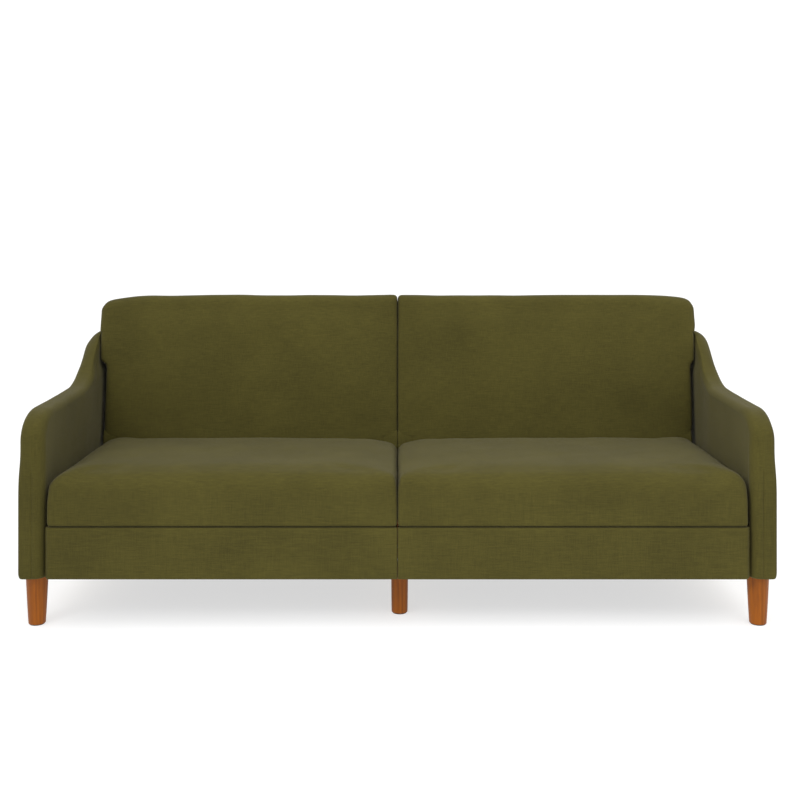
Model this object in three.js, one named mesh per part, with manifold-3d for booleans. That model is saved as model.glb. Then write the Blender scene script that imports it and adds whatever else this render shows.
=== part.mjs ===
// A two-seat click-clack sofa bed with fixed swoop arms, a split reclining back and turned legs.
// Millimetres. +Z is up, the sofa faces -Y, and the origin is on the floor under the middle of its footprint.
// "left" is the -X side, which is on the left of someone who stands in front of the sofa.
// Depths are given as distances behind the front of the arms, and atDepth() turns one into a Y coordinate.
import * as THREE from "three";
import { mergeVertices } from "three/addons/utils/BufferGeometryUtils.js";
import Module from "manifold-3d";

const wasm = await Module();
wasm.setup();

// ---- driving dimensions ----
const WIDTH = 2076;
const DEPTH = 860;
const ARM_THICKNESS = 71;
const BODY_BOTTOM = 137.5; // underside of the arms and of the front rail
const SEAT_PLANE = 425; // nominal height of the seat, and of the back when it is down
const SEAT_CROWN = 12;
const SEAT_REAR = 585;
const BACK_THICKNESS = 138;
const BACK_LENGTH = 504; // from the hinge axis to the top of the back
const RECLINE = THREE.MathUtils.degToRad(7); // lean of the upright back
const FIT = 0.3; // gap between pieces that touch
const CURVE_SEGMENTS = 4;

// ---- worked out from them ----
const ARM_OUTER = WIDTH / 2;
const ARM_INNER = ARM_OUTER - ARM_THICKNESS;
const ARM_MIDDLE = (ARM_OUTER + ARM_INNER) / 2;
const PIVOT_RADIUS = 45; // the hinge axis lies this far behind the face of the back and below the seat plane
const PIVOT_DEPTH = SEAT_REAR + 10 + PIVOT_RADIUS;
const PIVOT_Z = SEAT_PLANE - PIVOT_RADIUS;
const BACK_REAR = BACK_THICKNESS - PIVOT_RADIUS;
const ARM_CLEARANCE_RADIUS = 388; // the arm stays inside this circle about the hinge axis
const EAR_RADIUS = ARM_CLEARANCE_RADIUS + 2.5; // outside this circle the back spreads over the arms

// ---- frame timber ----
const RAIL_BOTTOM = 142;
const RAIL_TOP = 264;
const RAIL_THICKNESS = 26;
const SIDE_RAIL_INNER = ARM_INNER - 0.5 - RAIL_THICKNESS;
const CENTRE_RAIL = { from: 0.5, to: 25 };
const CUSHION_X = { from: 4, to: ARM_INNER - 7 };
const FRONT_RAIL_DEPTH = { from: 2, to: 30 };
const MIDDLE_RAIL_DEPTH = { from: 560, to: SEAT_REAR };
const REAR_RAIL_DEPTH = { from: 815, to: 840 };
const DECK_THICKNESS = 17.4;
const DECK_BOTTOM = RAIL_TOP + FIT;
const DECK_TOP = DECK_BOTTOM + DECK_THICKNESS;

// ---- hinge plates, stacked along X between the back frame and the base rails ----
const PLATE = 4;
const PLATE_GAP = 0.4;
const OUTER_SEAT_PLATE = SIDE_RAIL_INNER - FIT - PLATE;
const OUTER_BACK_PLATE = OUTER_SEAT_PLATE - PLATE_GAP - PLATE;
const INNER_SEAT_PLATE = CENTRE_RAIL.to + FIT;
const INNER_BACK_PLATE = INNER_SEAT_PLATE + PLATE + PLATE_GAP;
const BACK_FRAME_X = { from: INNER_BACK_PLATE + PLATE + FIT, to: OUTER_BACK_PLATE - FIT };
const PIVOT_BOLT_RADIUS = 6;
const PIVOT_HOLE_RADIUS = 6.4;
const RATCHET_RADIUS = 34;
const NOTCH_ANGLES = [0, 35, 83]; // sit, lounge and sleep, in degrees of recline
const PAWL_PIVOT = { y: -31, z: -73 }; // from the hinge axis
const PAWL_PIN_RADIUS = 3;

// ---- back ----
const BACK_X = { from: 4, to: ARM_INNER - 5, ear: ARM_INNER + 19 };
const HINGE_SPACE_TOP = 42; // below this the back leaves room for the hinges
const BACK_FLAP_X = { innerEnd: 17, outerStart: BACK_X.to - 11.5 }; // padding on the far sides of the hinges
const BACK_FRAME_Z = { from: -20, to: 462 };
const BACK_FRAME_Y = { from: 45, to: 80 };
const BACK_PANEL_Y = { from: 84, to: BACK_REAR };

// ---- legs ----
const GLIDE_HEIGHT = 2.5;
const CORNER_LEG = { x: 1002, top: 30.5, bottom: 23.3 };
const CENTRE_LEG = { x: 6, top: 24, bottom: 23 };
const FRONT_LEG_DEPTH = 60;
const REAR_LEG_DEPTH = DEPTH - FRONT_LEG_DEPTH;
const CENTRE_FRONT_LEG_DEPTH = 153;
const CENTRE_REAR_LEG_DEPTH = DEPTH - CENTRE_FRONT_LEG_DEPTH;
const LEG_STUD = { radius: 4, hole: 4.5, length: 38 };

// ---- arm ----
const ARM_PADDING = 19; // foam and cover over the arm's timber frame
const ARM_EDGE_RADIUS = 20;
const ARM_FRAME_INSET = 22;
const ARM_BOLT = { radius: 5, hole: 5.5, head: 10, headHeight: 6, z: 205, end: ARM_OUTER - 30 };
const ARM_BOLT_DEPTHS = { front: 200, rear: 760 };
const JOINING_BOLT_DEPTHS = { front: 90, rear: 770 };

const FABRIC = new THREE.MeshStandardMaterial({ color: 0x4f4a25, roughness: 0.95, metalness: 0 });
const LEG_WOOD = new THREE.MeshStandardMaterial({ color: 0xa5632f, roughness: 0.45, metalness: 0 });
const FRAME_WOOD = new THREE.MeshStandardMaterial({ color: 0xcbab7b, roughness: 0.8, metalness: 0 });
const STEEL = new THREE.MeshStandardMaterial({ color: 0x2c2c2e, roughness: 0.45, metalness: 0.9 });
const ZINC = new THREE.MeshStandardMaterial({ color: 0xb9bcc0, roughness: 0.35, metalness: 1 });
const GLIDE_PLASTIC = new THREE.MeshStandardMaterial({ color: 0x1b1b1b, roughness: 0.6, metalness: 0 });
const LINING = new THREE.MeshStandardMaterial({ color: 0x1c1c1c, roughness: 1, metalness: 0 });

const sofa = new THREE.Group();

function atDepth(depth) {
  return depth - DEPTH / 2;
}

// ---- geometry helpers ----

function addMesh(parent, name, geometry, material) {
  const mesh = new THREE.Mesh(geometry, material);
  mesh.name = name;
  parent.add(mesh);
  return mesh;
}

function toSolid(geometry) {
  const plain = geometry.index ? geometry.toNonIndexed() : geometry.clone();
  plain.deleteAttribute("normal");
  plain.deleteAttribute("uv");
  const merged = mergeVertices(plain, 1e-3);
  return new wasm.Manifold(
    new wasm.Mesh({
      numProp: 3,
      vertProperties: new Float32Array(merged.attributes.position.array),
      triVerts: new Uint32Array(merged.index.array),
    }),
  );
}

function toGeometry(solid) {
  const mesh = solid.getMesh();
  return new THREE.BufferGeometry()
    .setAttribute("position", new THREE.BufferAttribute(mesh.vertProperties, 3))
    .setIndex(new THREE.BufferAttribute(mesh.triVerts, 1));
}

function union(geometries) {
  return toGeometry(geometries.map(toSolid).reduce((all, next) => all.add(next)));
}

function cut(geometry, tools) {
  return toGeometry(tools.map(toSolid).reduce((left, tool) => left.subtract(tool), toSolid(geometry)));
}

function intersection(a, b) {
  return toGeometry(toSolid(a).intersect(toSolid(b)));
}

// A box between two X, two Y and two Z coordinates, given in either order.
function block(x, y, z) {
  const size = [x, y, z].map(([a, b]) => Math.abs(b - a));
  const centre = [x, y, z].map(([a, b]) => (a + b) / 2);
  return new THREE.BoxGeometry(...size).translate(...centre);
}

// A cylinder along X from one X coordinate to another.
function rodX(radius, x0, x1, y, z, sides = 14) {
  return new THREE.CylinderGeometry(radius, radius, Math.abs(x1 - x0), sides)
    .rotateZ(Math.PI / 2)
    .translate((x0 + x1) / 2, y, z);
}

function rodZ(radius, z0, z1, x, y, sides = 12) {
  return new THREE.CylinderGeometry(radius, radius, z1 - z0, sides)
    .rotateX(Math.PI / 2)
    .translate(x, y, (z0 + z1) / 2);
}

// A shape drawn in (Y, Z) and swept along X, with its edges rounded by "round" inside the same limits.
function sweepX(shape, x0, x1, round = 0, segments = 3) {
  const low = Math.min(x0, x1);
  const length = Math.abs(x1 - x0);
  const geometry = new THREE.ExtrudeGeometry(shape, {
    depth: length - 2 * round,
    bevelEnabled: round > 0,
    bevelThickness: round,
    bevelSize: round,
    bevelOffset: -round,
    bevelSegments: segments,
    curveSegments: CURVE_SEGMENTS,
  });
  const axes = new THREE.Matrix4().makeBasis(
    new THREE.Vector3(0, 1, 0),
    new THREE.Vector3(0, 0, 1),
    new THREE.Vector3(1, 0, 0),
  );
  return geometry.applyMatrix4(axes).translate(low + round, 0, 0);
}

// A shape drawn in (X, Z) and swept along Y from y0 to y1, with rounded edges.
function sweepY(shape, y0, y1, round, segments = 3) {
  const geometry = new THREE.ExtrudeGeometry(shape, {
    depth: y1 - y0 - 2 * round,
    bevelEnabled: round > 0,
    bevelThickness: round,
    bevelSize: round,
    bevelOffset: -round,
    bevelSegments: segments,
    curveSegments: CURVE_SEGMENTS,
  });
  return geometry.rotateX(Math.PI / 2).translate(0, y1 - round, 0);
}

// A rectangle whose four corners have their own radii, from the low corner anticlockwise.
function roundedRectangle(a0, a1, b0, b1, [r00, r10, r11, r01]) {
  const shape = new THREE.Shape();
  shape.moveTo(a0 + r00, b0);
  shape.lineTo(a1 - r10, b0);
  shape.absarc(a1 - r10, b0 + r10, r10, -Math.PI / 2, 0);
  shape.lineTo(a1, b1 - r11);
  shape.absarc(a1 - r11, b1 - r11, r11, 0, Math.PI / 2);
  shape.lineTo(a0 + r01, b1);
  shape.absarc(a0 + r01, b1 - r01, r01, Math.PI / 2, Math.PI);
  shape.lineTo(a0, b0 + r00);
  shape.absarc(a0 + r00, b0 + r00, r00, Math.PI, 1.5 * Math.PI);
  return shape;
}

// ---- arms ----

// Side outline of an arm as (Y, Z): a rounded front, a level rest, and an S curve up to the back.
// Behind its crest the outline follows a circle about the hinge axis. "inset" moves it inwards.
function armOutline(inset, bottom) {
  const front = atDepth(0) + inset;
  const rear = atDepth(DEPTH) - inset;
  const radius = ARM_CLEARANCE_RADIUS - inset;
  const pivotY = atDepth(PIVOT_DEPTH);
  const crestAngle = Math.acos((atDepth(742) - pivotY) / ARM_CLEARANCE_RADIUS);
  const cornerAngle = Math.acos((rear - 36 - pivotY) / radius);
  const onCircle = (angle) => ({
    y: pivotY + radius * Math.cos(angle),
    z: PIVOT_Z + radius * Math.sin(angle),
  });
  const crest = onCircle(crestAngle);
  const corner = onCircle(cornerAngle);
  const shape = new THREE.Shape();
  shape.moveTo(front, bottom);
  shape.lineTo(front, 500);
  shape.bezierCurveTo(front, 575 - inset, atDepth(45) + inset / 2, 595 - inset, atDepth(150), 596 - inset);
  shape.bezierCurveTo(atDepth(270), 597 - inset, atDepth(350), 596 - inset, atDepth(440), 608 - inset);
  const inner = inset * 0.7; // the S curve leans, so it moves back as well as down
  shape.bezierCurveTo(
    atDepth(535) + inner,
    622 - inner,
    atDepth(575) + inner,
    668 - inner,
    atDepth(610) + inner,
    702 - inner,
  );
  shape.bezierCurveTo(atDepth(650) + inner, 741 - inner, atDepth(690), crest.z + 3, crest.y, crest.z);
  shape.absarc(pivotY, PIVOT_Z, radius, crestAngle, cornerAngle, true);
  shape.bezierCurveTo(corner.y + 16, corner.z - 9, rear, corner.z - 18, rear, corner.z - 42);
  shape.lineTo(rear, bottom);
  shape.lineTo(front, bottom);
  return shape;
}

function armBoltHoles(side, from, to) {
  return Object.values(ARM_BOLT_DEPTHS).map((depth) =>
    rodX(ARM_BOLT.hole, side * from, side * to, atDepth(depth), ARM_BOLT.z),
  );
}

function buildArm(side, label) {
  const frameX = [side * (ARM_INNER + ARM_PADDING), side * (ARM_OUTER - ARM_PADDING)];
  const padded = sweepX(armOutline(0, BODY_BOTTOM - 60), side * ARM_INNER, side * ARM_OUTER, ARM_EDGE_RADIUS);
  const below = block([side * 900, side * 1100], [-500, 500], [0, BODY_BOTTOM]);
  const pocket = sweepX(armOutline(ARM_FRAME_INSET - FIT, 60), frameX[0] - side * FIT, frameX[1] + side * FIT);
  const cover = cut(padded, [below, pocket, ...armBoltHoles(side, ARM_INNER - 5, ARM_MIDDLE)]);
  addMesh(sofa, `${label}_arm_cover`, cover, FABRIC);

  const board = sweepX(armOutline(ARM_FRAME_INSET, BODY_BOTTOM + FIT), ...frameX);
  const studHoles = [FRONT_LEG_DEPTH, REAR_LEG_DEPTH].map((depth) =>
    rodZ(LEG_STUD.hole, 100, BODY_BOTTOM + LEG_STUD.length + 3, side * CORNER_LEG.x, atDepth(depth)),
  );
  const frame = cut(board, [...studHoles, ...armBoltHoles(side, ARM_INNER, ARM_BOLT.end + 2)]);
  addMesh(sofa, `${label}_arm_frame`, frame, FRAME_WOOD);

  for (const [place, depth] of Object.entries(ARM_BOLT_DEPTHS)) {
    const headFace = SIDE_RAIL_INNER - FIT;
    const bolt = union([
      rodX(ARM_BOLT.radius, side * (headFace - 1), side * ARM_BOLT.end, atDepth(depth), ARM_BOLT.z),
      rodX(ARM_BOLT.head, side * (headFace - ARM_BOLT.headHeight), side * headFace, atDepth(depth), ARM_BOLT.z, 6),
    ]);
    addMesh(sofa, `${label}_arm_bolt_${place}`, bolt, ZINC);
  }
}

// ---- base frame, one half at a time ----

function buildBase(side, label) {
  const railY = [atDepth(FRONT_RAIL_DEPTH.to + FIT), atDepth(REAR_RAIL_DEPTH.from - FIT)];
  const railZ = [RAIL_BOTTOM, RAIL_TOP];
  const between = [side * (CENTRE_RAIL.to + FIT), side * (SIDE_RAIL_INNER - FIT)];

  const frontShape = roundedRectangle(
    atDepth(FRONT_RAIL_DEPTH.from),
    atDepth(FRONT_RAIL_DEPTH.to),
    BODY_BOTTOM,
    DECK_TOP,
    [6, 2, 2, 6],
  );
  const frontRail = sweepX(frontShape, side * CUSHION_X.from, side * CUSHION_X.to);
  addMesh(sofa, `${label}_front_rail`, frontRail, FABRIC);

  const sideRail = cut(
    block([side * SIDE_RAIL_INNER, side * (SIDE_RAIL_INNER + RAIL_THICKNESS)], railY, railZ),
    armBoltHoles(side, SIDE_RAIL_INNER - 2, ARM_INNER),
  );
  addMesh(sofa, `${label}_side_rail`, sideRail, FRAME_WOOD);

  const joiningHoles = Object.values(JOINING_BOLT_DEPTHS).map((depth) =>
    rodX(ARM_BOLT.hole, 0, side * 30, atDepth(depth), ARM_BOLT.z),
  );
  const legHoles = [CENTRE_FRONT_LEG_DEPTH, CENTRE_REAR_LEG_DEPTH].map((depth) =>
    rodZ(LEG_STUD.hole, 100, RAIL_BOTTOM + LEG_STUD.length + 3, CENTRE_LEG.x, atDepth(depth)),
  );
  const centreRail = cut(
    block([side * CENTRE_RAIL.from, side * CENTRE_RAIL.to], railY, railZ),
    side > 0 ? [...joiningHoles, ...legHoles] : joiningHoles,
  );
  addMesh(sofa, `${label}_centre_rail`, centreRail, FRAME_WOOD);

  const middleY = [atDepth(MIDDLE_RAIL_DEPTH.from), atDepth(MIDDLE_RAIL_DEPTH.to)];
  addMesh(sofa, `${label}_middle_rail`, block(between, middleY, railZ), FRAME_WOOD);

  const rearY = [atDepth(REAR_RAIL_DEPTH.from), atDepth(REAR_RAIL_DEPTH.to)];
  const rearX = [side * CENTRE_RAIL.from, side * (ARM_INNER - 0.5)];
  addMesh(sofa, `${label}_rear_rail`, block(rearX, rearY, [BODY_BOTTOM, RAIL_TOP]), FABRIC);

  addMesh(sofa, `${label}_seat_deck`, slattedDeck(side), FRAME_WOOD);

  const liningY = [atDepth(FRONT_RAIL_DEPTH.to + 1), atDepth(REAR_RAIL_DEPTH.from - 1)];
  const liningZ = [RAIL_BOTTOM - 2, RAIL_BOTTOM - FIT];
  const lining = block([side * 31, side * (SIDE_RAIL_INNER + 20)], liningY, liningZ);
  addMesh(sofa, `${label}_dust_cover`, lining, LINING);

  const seatShape = roundedRectangle(
    atDepth(2),
    atDepth(SEAT_REAR),
    DECK_TOP + FIT,
    SEAT_PLANE + SEAT_CROWN,
    [26, 26, 42, 50],
  );
  const cushion = sweepX(seatShape, side * CUSHION_X.from, side * CUSHION_X.to, 24);
  addMesh(sofa, `${label}_seat_cushion`, cushion, FABRIC);
}

// Slats that run across one half of the seat, let into a batten at each end.
function slattedDeck(side) {
  const slats = 6;
  const slatWidth = 70;
  const front = atDepth(FRONT_RAIL_DEPTH.to + 1);
  const rear = atDepth(SEAT_REAR);
  const z = [DECK_BOTTOM, DECK_TOP];
  const pieces = [
    block([side * 2, side * 42], [front, rear], z),
    block([side * (ARM_INNER - 45), side * (ARM_INNER - 5)], [front, rear], z),
  ];
  for (let i = 0; i < slats; i++) {
    const y = front + ((rear - front - slatWidth) * i) / (slats - 1);
    pieces.push(block([side * 30, side * (ARM_INNER - 30)], [y, y + slatWidth], z));
  }
  return union(pieces);
}

function buildJoiningBolts() {
  for (const [place, depth] of Object.entries(JOINING_BOLT_DEPTHS)) {
    const face = CENTRE_RAIL.to + FIT;
    const y = atDepth(depth);
    const bolt = union([
      rodX(ARM_BOLT.radius, -face - 1, face + 9, y, ARM_BOLT.z),
      rodX(ARM_BOLT.head, -face - ARM_BOLT.headHeight, -face, y, ARM_BOLT.z, 6),
      rodX(ARM_BOLT.head - 1, face, face + 7, y, ARM_BOLT.z, 6),
    ]);
    addMesh(sofa, `joining_bolt_${place}`, bolt, ZINC);
  }
}

// ---- legs ----

function buildLeg(name, spec, x, depth, top) {
  const stud = LEG_STUD.radius;
  const profile = [
    [0, GLIDE_HEIGHT + FIT],
    [spec.bottom - 1.5, GLIDE_HEIGHT + FIT],
    [spec.bottom, GLIDE_HEIGHT + 2],
    [spec.top, top - 1.5],
    [spec.top - 1, top],
    [stud, top],
    [stud, top + LEG_STUD.length],
    [0, top + LEG_STUD.length + 2],
  ].map(([r, z]) => new THREE.Vector2(r, z));
  const leg = new THREE.LatheGeometry(profile, 20).rotateX(Math.PI / 2).translate(x, atDepth(depth), 0);
  addMesh(sofa, name, leg, LEG_WOOD);
  const glide = rodZ(spec.bottom - 2.5, 0, GLIDE_HEIGHT, x, atDepth(depth), 20);
  addMesh(sofa, `${name}_glide`, glide, GLIDE_PLASTIC);
}

function buildLegs() {
  for (const [side, label] of [[-1, "left"], [1, "right"]]) {
    const x = side * CORNER_LEG.x;
    buildLeg(`${label}_front_leg`, CORNER_LEG, x, FRONT_LEG_DEPTH, BODY_BOTTOM - FIT);
    buildLeg(`${label}_rear_leg`, CORNER_LEG, x, REAR_LEG_DEPTH, BODY_BOTTOM - FIT);
  }
  buildLeg("centre_front_leg", CENTRE_LEG, CENTRE_LEG.x, CENTRE_FRONT_LEG_DEPTH, RAIL_BOTTOM - FIT);
  buildLeg("centre_rear_leg", CENTRE_LEG, CENTRE_LEG.x, CENTRE_REAR_LEG_DEPTH, RAIL_BOTTOM - FIT);
}

// ---- click-clack hinges ----

// A group whose origin lies on the hinge axis. "lean" tips it back.
function axisGroup(lean) {
  const group = new THREE.Group();
  group.position.set(0, atDepth(PIVOT_DEPTH), PIVOT_Z);
  group.rotation.x = -lean;
  sofa.add(group);
  return group;
}

function polygon(points) {
  return new THREE.Shape(points.map(([y, z]) => new THREE.Vector2(y, z)));
}

// The fixed plate: a flange bolted to the rail, a neck, and an eye round the pivot bolt.
function seatBracket(x) {
  const x1 = x + PLATE;
  const railTop = RAIL_TOP - PIVOT_Z;
  const neck = polygon([
    [-48, railTop - 6],
    [-48, -84],
    [-42, -60],
    [-22, -8],
    [22, -8],
    [32, -70],
    [40, railTop - 6],
  ]);
  const flange = polygon([
    [-50, railTop - 60],
    [-40, railTop - 70],
    [65, railTop - 70],
    [75, railTop - 60],
    [75, railTop - 12],
    [65, railTop - 2],
    [-50, railTop - 2],
  ]);
  const body = union([rodX(28, x, x1, 0, 0, 20), sweepX(neck, x, x1), sweepX(flange, x, x1)]);
  const holes = [
    rodX(PIVOT_HOLE_RADIUS, x - 1, x1 + 1, 0, 0),
    rodX(PAWL_PIN_RADIUS + 0.4, x - 1, x1 + 1, PAWL_PIVOT.y, PAWL_PIVOT.z, 12),
    ...[-35, 60].map((y) => rodX(4, x - 1, x1 + 1, y, railTop - 38, 8)),
  ];
  return cut(body, holes);
}

// The moving plate: a notched ratchet eye and an arm that is bolted to the side of the back frame.
function backBracket(x) {
  const x1 = x + PLATE;
  const arm = polygon([
    [4, -8],
    [60, -4],
    [80, 12],
    [80, 146],
    [74, 152],
    [56, 152],
    [50, 146],
    [50, 40],
    [6, 26],
  ]);
  const body = union([rodX(RATCHET_RADIUS, x, x1, 0, 0, 24), sweepX(arm, x, x1)]);
  const tip = pawlTipAngle() + RECLINE;
  const notches = NOTCH_ANGLES.map((degrees) => {
    const angle = tip + THREE.MathUtils.degToRad(degrees);
    return block([x - 1, x1 + 1], [-4.5, 4.5], [-6, 6])
      .translate(-(x + PLATE / 2), 0, 0)
      .rotateX(angle - Math.PI / 2)
      .translate(x + PLATE / 2, RATCHET_RADIUS * Math.cos(angle), RATCHET_RADIUS * Math.sin(angle));
  });
  const holes = [
    rodX(PIVOT_HOLE_RADIUS, x - 1, x1 + 1, 0, 0),
    ...[20, 130].map((z) => rodX(4, x - 1, x1 + 1, 65, z, 8)),
  ];
  return cut(body, [...notches, ...holes]);
}

// Direction from the hinge axis to the tip of the pawl, in the (Y, Z) plane.
function pawlTipAngle() {
  return THREE.MathUtils.degToRad(245);
}

// The spring-loaded catch, stored just clear of the ratchet, on a pin through the seat bracket.
function pawl(x, seatPlateX) {
  const x1 = x + PLATE;
  const angle = pawlTipAngle();
  const reach = RATCHET_RADIUS + 0.8;
  const tip = [reach * Math.cos(angle), reach * Math.sin(angle)];
  const across = [-Math.sin(angle), Math.cos(angle)];
  const shoulder = [(reach + 12) * Math.cos(angle), (reach + 12) * Math.sin(angle)];
  const offset = ([y, z], [dy, dz], k) => [y + dy * k, z + dz * k];
  const lever = polygon([
    offset(tip, across, 3.5),
    offset(tip, across, -3.5),
    offset(shoulder, across, -6),
    [PAWL_PIVOT.y - 7, PAWL_PIVOT.z + 4],
    [PAWL_PIVOT.y - 3, PAWL_PIVOT.z - 8],
    [PAWL_PIVOT.y + 8, PAWL_PIVOT.z - 6],
    offset(shoulder, across, 6),
  ]);
  const pinEnds = x < seatPlateX ? [x, seatPlateX + PLATE + 2] : [seatPlateX - 2, x1];
  return union([
    sweepX(lever, x, x1),
    rodX(8, x, x1, PAWL_PIVOT.y, PAWL_PIVOT.z, 14),
    rodX(PAWL_PIN_RADIUS, ...pinEnds, PAWL_PIVOT.y, PAWL_PIVOT.z, 12),
  ]);
}

function pivotBolt(low, high, headSide) {
  const head = headSide < 0 ? [low, low + 5] : [high - 5, high];
  const nut = headSide < 0 ? [high - 5, high] : [low, low + 5];
  return union([
    rodX(PIVOT_BOLT_RADIUS, low + 1, high - 1, 0, 0),
    rodX(11, ...head, 0, 0, 16),
    rodX(10, ...nut, 0, 0, 6),
  ]);
}

// One hinge. The plates lie at seatX and backX (their lower X faces) after the sign of the side is applied.
function buildHinge(side, label, place, seatPlate, backPlate, backGroup) {
  const low = (x) => (side > 0 ? x : -x - PLATE);
  const seatX = low(seatPlate);
  const backX = low(backPlate);
  const fixed = axisGroup(0);
  const stack = [Math.min(seatX, backX), Math.max(seatX, backX) + PLATE];
  const boltFrom = stack[0] - PLATE_GAP - 5;
  const boltTo = stack[1] + PLATE_GAP + 5;
  addMesh(fixed, `${label}_${place}_seat_bracket`, seatBracket(seatX), STEEL);
  addMesh(backGroup, `${label}_${place}_back_bracket`, backBracket(backX), STEEL);
  addMesh(fixed, `${label}_${place}_pawl`, pawl(backX, seatX), ZINC);
  addMesh(fixed, `${label}_${place}_pivot_bolt`, pivotBolt(boltFrom, boltTo, backX < seatX ? -1 : 1), ZINC);
}

// ---- back, one half at a time, in a group that leans with it ----

// Front outline of one half of the back as (X, Z): a square inner corner, a rounded outer corner, and an
// ear that reaches out to the side. The ear's underside is cut later.
function backOutline(side) {
  const top = BACK_LENGTH;
  const shape = new THREE.Shape();
  const x = (value) => side * value;
  shape.moveTo(x(BACK_X.from), HINGE_SPACE_TOP);
  shape.lineTo(x(BACK_X.to), HINGE_SPACE_TOP);
  shape.lineTo(x(BACK_X.to), EAR_RADIUS - 40);
  shape.lineTo(x(BACK_X.ear), EAR_RADIUS - 40);
  shape.lineTo(x(BACK_X.ear), top - 70);
  shape.bezierCurveTo(x(BACK_X.ear), top - 24, x(BACK_X.ear - 25), top - 12, x(BACK_X.ear - 90), top - 6);
  shape.lineTo(x(BACK_X.ear - 220), top);
  shape.lineTo(x(BACK_X.from + 16), top);
  shape.quadraticCurveTo(x(BACK_X.from), top, x(BACK_X.from), top - 16);
  shape.lineTo(x(BACK_X.from), HINGE_SPACE_TOP);
  return shape;
}

// Everything above the foot: the front outline, with the top edge rounded over from front to rear, and
// the ear's underside on a circle about the hinge axis, so that it passes over the arm.
function backBody(side) {
  const outline = sweepY(backOutline(side), -PIVOT_RADIUS, BACK_REAR, 10);
  const section = roundedRectangle(-PIVOT_RADIUS, BACK_REAR, 0, BACK_LENGTH, [0, 0, 26, 34]);
  const body = intersection(outline, sweepX(section, side * BACK_X.from, side * BACK_X.ear));
  const sides = 72;
  const faceted = EAR_RADIUS / Math.cos(Math.PI / sides); // so that the flats, too, lie outside the circle
  return cut(body, [rodX(faceted, side * BACK_X.to, side * (BACK_X.ear + 10), 0, 0, sides)]);
}

// A piece of the lower end between two X coordinates, with its front corner rounded about the hinge axis.
function backFoot(x0, x1, rear) {
  const shape = new THREE.Shape();
  shape.moveTo(-PIVOT_RADIUS, 60);
  shape.lineTo(-PIVOT_RADIUS, 0);
  shape.absarc(0, 0, PIVOT_RADIUS, Math.PI, 1.5 * Math.PI);
  shape.lineTo(rear - 12, -PIVOT_RADIUS);
  shape.lineTo(rear, -PIVOT_RADIUS + 12);
  shape.lineTo(rear, 60);
  return sweepX(shape, x0, x1);
}

function backFrame(side) {
  const { from: z0, to: z1 } = BACK_FRAME_Z;
  const { from: x0, to: x1 } = BACK_FRAME_X;
  const y = [BACK_FRAME_Y.from + FIT, BACK_FRAME_Y.to - FIT];
  const stile = 45;
  const slatThickness = 14;
  const slatWidth = 60;
  const slats = 5;
  const pieces = [
    block([side * x0, side * x1], y, [z0 + FIT, z0 + 60]),
    block([side * x0, side * x1], y, [z1 - 50, z1 - FIT]),
    block([side * x0, side * (x0 + stile)], y, [z0 + FIT, z1 - FIT]),
    block([side * (x1 - stile), side * x1], y, [z0 + FIT, z1 - FIT]),
  ];
  const pitch = (x1 - x0 - 2 * stile - slatWidth) / (slats + 1);
  for (let i = 1; i <= slats; i++) {
    const x = x0 + stile + pitch * i;
    pieces.push(block([side * x, side * (x + slatWidth)], [y[0], y[0] + slatThickness], [z0 + 40, z1 - 30]));
  }
  return union(pieces);
}

function buildBack(side, label) {
  const group = axisGroup(RECLINE);
  const cavityX = [side * (BACK_FRAME_X.from - FIT), side * (BACK_FRAME_X.to + FIT)];
  const cavity = block(cavityX, [BACK_FRAME_Y.from, BACK_REAR + 10], [BACK_FRAME_Z.from, BACK_FRAME_Z.to]);
  const pocket = (x) =>
    block([side * (x - PLATE_GAP), side * (x + PLATE + PLATE_GAP)], [40, 90], [HINGE_SPACE_TOP - 5, 158]);
  const boltPocket = (x0, x1) => rodX(14, side * x0, side * x1, 0, 0);
  const padding = union([
    backBody(side),
    backFoot(side * BACK_FRAME_X.from, side * BACK_FRAME_X.to, BACK_REAR),
    backFoot(side * BACK_X.from, side * BACK_FLAP_X.innerEnd, 30),
    backFoot(side * BACK_FLAP_X.outerStart, side * BACK_X.to, 30),
  ]);
  const cushion = cut(padding, [
    cavity,
    pocket(OUTER_BACK_PLATE),
    pocket(INNER_BACK_PLATE),
    boltPocket(BACK_FRAME_X.from - 2, BACK_FRAME_X.from + 12),
    boltPocket(BACK_FRAME_X.to - 12, BACK_FRAME_X.to + 2),
  ]);
  addMesh(group, `${label}_back_cushion`, cushion, FABRIC);
  addMesh(group, `${label}_back_frame`, backFrame(side), FRAME_WOOD);

  const panelX = [side * (BACK_FRAME_X.from + FIT), side * (BACK_FRAME_X.to - FIT)];
  const panelY = [BACK_PANEL_Y.from, BACK_PANEL_Y.to];
  const panelZ = [BACK_FRAME_Z.from + FIT, BACK_FRAME_Z.to - FIT];
  addMesh(group, `${label}_back_panel`, block(panelX, panelY, panelZ), FABRIC);

  buildHinge(side, label, "outer", OUTER_SEAT_PLATE, OUTER_BACK_PLATE, group);
  buildHinge(side, label, "inner", INNER_SEAT_PLATE, INNER_BACK_PLATE, group);
}

for (const [side, label] of [[-1, "left"], [1, "right"]]) {
  buildArm(side, label);
  buildBase(side, label);
  buildBack(side, label);
}
buildJoiningBolts();
buildLegs();

export default sofa;
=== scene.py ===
"""Looks of a click-clack sofa bed: soft upholstery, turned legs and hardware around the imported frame.

Metres. +X is to the right of someone in front of the sofa, +Y towards its back, +Z up.
Upholstery is built for the right-hand half (x > 0) and mirrored for the left-hand half.
"""

import math

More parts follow.
